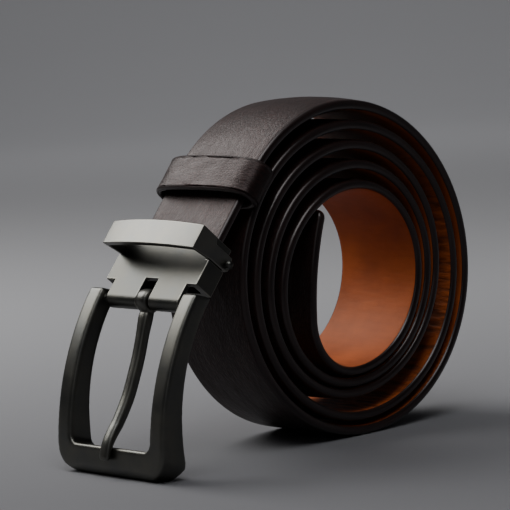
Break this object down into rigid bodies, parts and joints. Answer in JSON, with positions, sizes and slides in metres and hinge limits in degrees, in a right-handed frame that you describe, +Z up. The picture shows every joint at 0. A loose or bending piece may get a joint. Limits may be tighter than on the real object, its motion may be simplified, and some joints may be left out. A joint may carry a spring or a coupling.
{
  "type": "leather belt",
  "caption": "Coiled leather dress belt: dark face and tan lining, with a leather keeper and a clamp-on metal buckle whose frame, prong and loop lever turn.",
  "frame": {"origin": "on the floor under the middle of the belt as it stands coiled", "axes": "+Z up; X along the strap's run, buckle towards -X; Y across the strap"},
  "size_m": [0.14, 0.0456, 0.101],
  "materials": {
    "dark_leather": "satin",
    "tan_leather": "matt",
    "core_board": "matt",
    "gunmetal": "satin",
    "plain_steel": "satin"
  },
  "bodies": {
    "strap": {"strap_face": "dark_leather", "strap_core": "core_board", "strap_lining": "tan_leather", "clamp_body": "gunmetal"},
    "keeper": {"leather_keeper": "dark_leather", "keeper_staple": "plain_steel"},
    "lever": {"metal_loop": "gunmetal", "toothed_jaw": "plain_steel", "clamp_pin": "plain_steel"},
    "frame": {"buckle_frame": "gunmetal", "hinge_bar": "plain_steel"},
    "prong": {"prong": "gunmetal"}
  },
  "joints": [
    {"name": "keeper_slide", "type": "slide", "parent": "strap", "child": "keeper", "axis": [-0.6428, 0, -0.766], "range_m": [0, 0.006]},
    {"name": "lever_hinge", "type": "hinge", "parent": "strap", "child": "lever", "pos_m": [-0.03588, 0, 0.0581], "axis": [0, 1, 0], "range_deg": [0, 40]},
    {"name": "frame_hinge", "type": "hinge", "parent": "strap", "child": "frame", "pos_m": [-0.04915, 0, 0.04834], "axis": [0, 1, 0], "range_deg": [-40, 55]},
    {"name": "prong_hinge", "type": "hinge", "parent": "frame", "child": "prong", "pos_m": [-0.04915, 0, 0.04834], "axis": [0, 1, 0], "range_deg": [0, 80]}
  ]
}
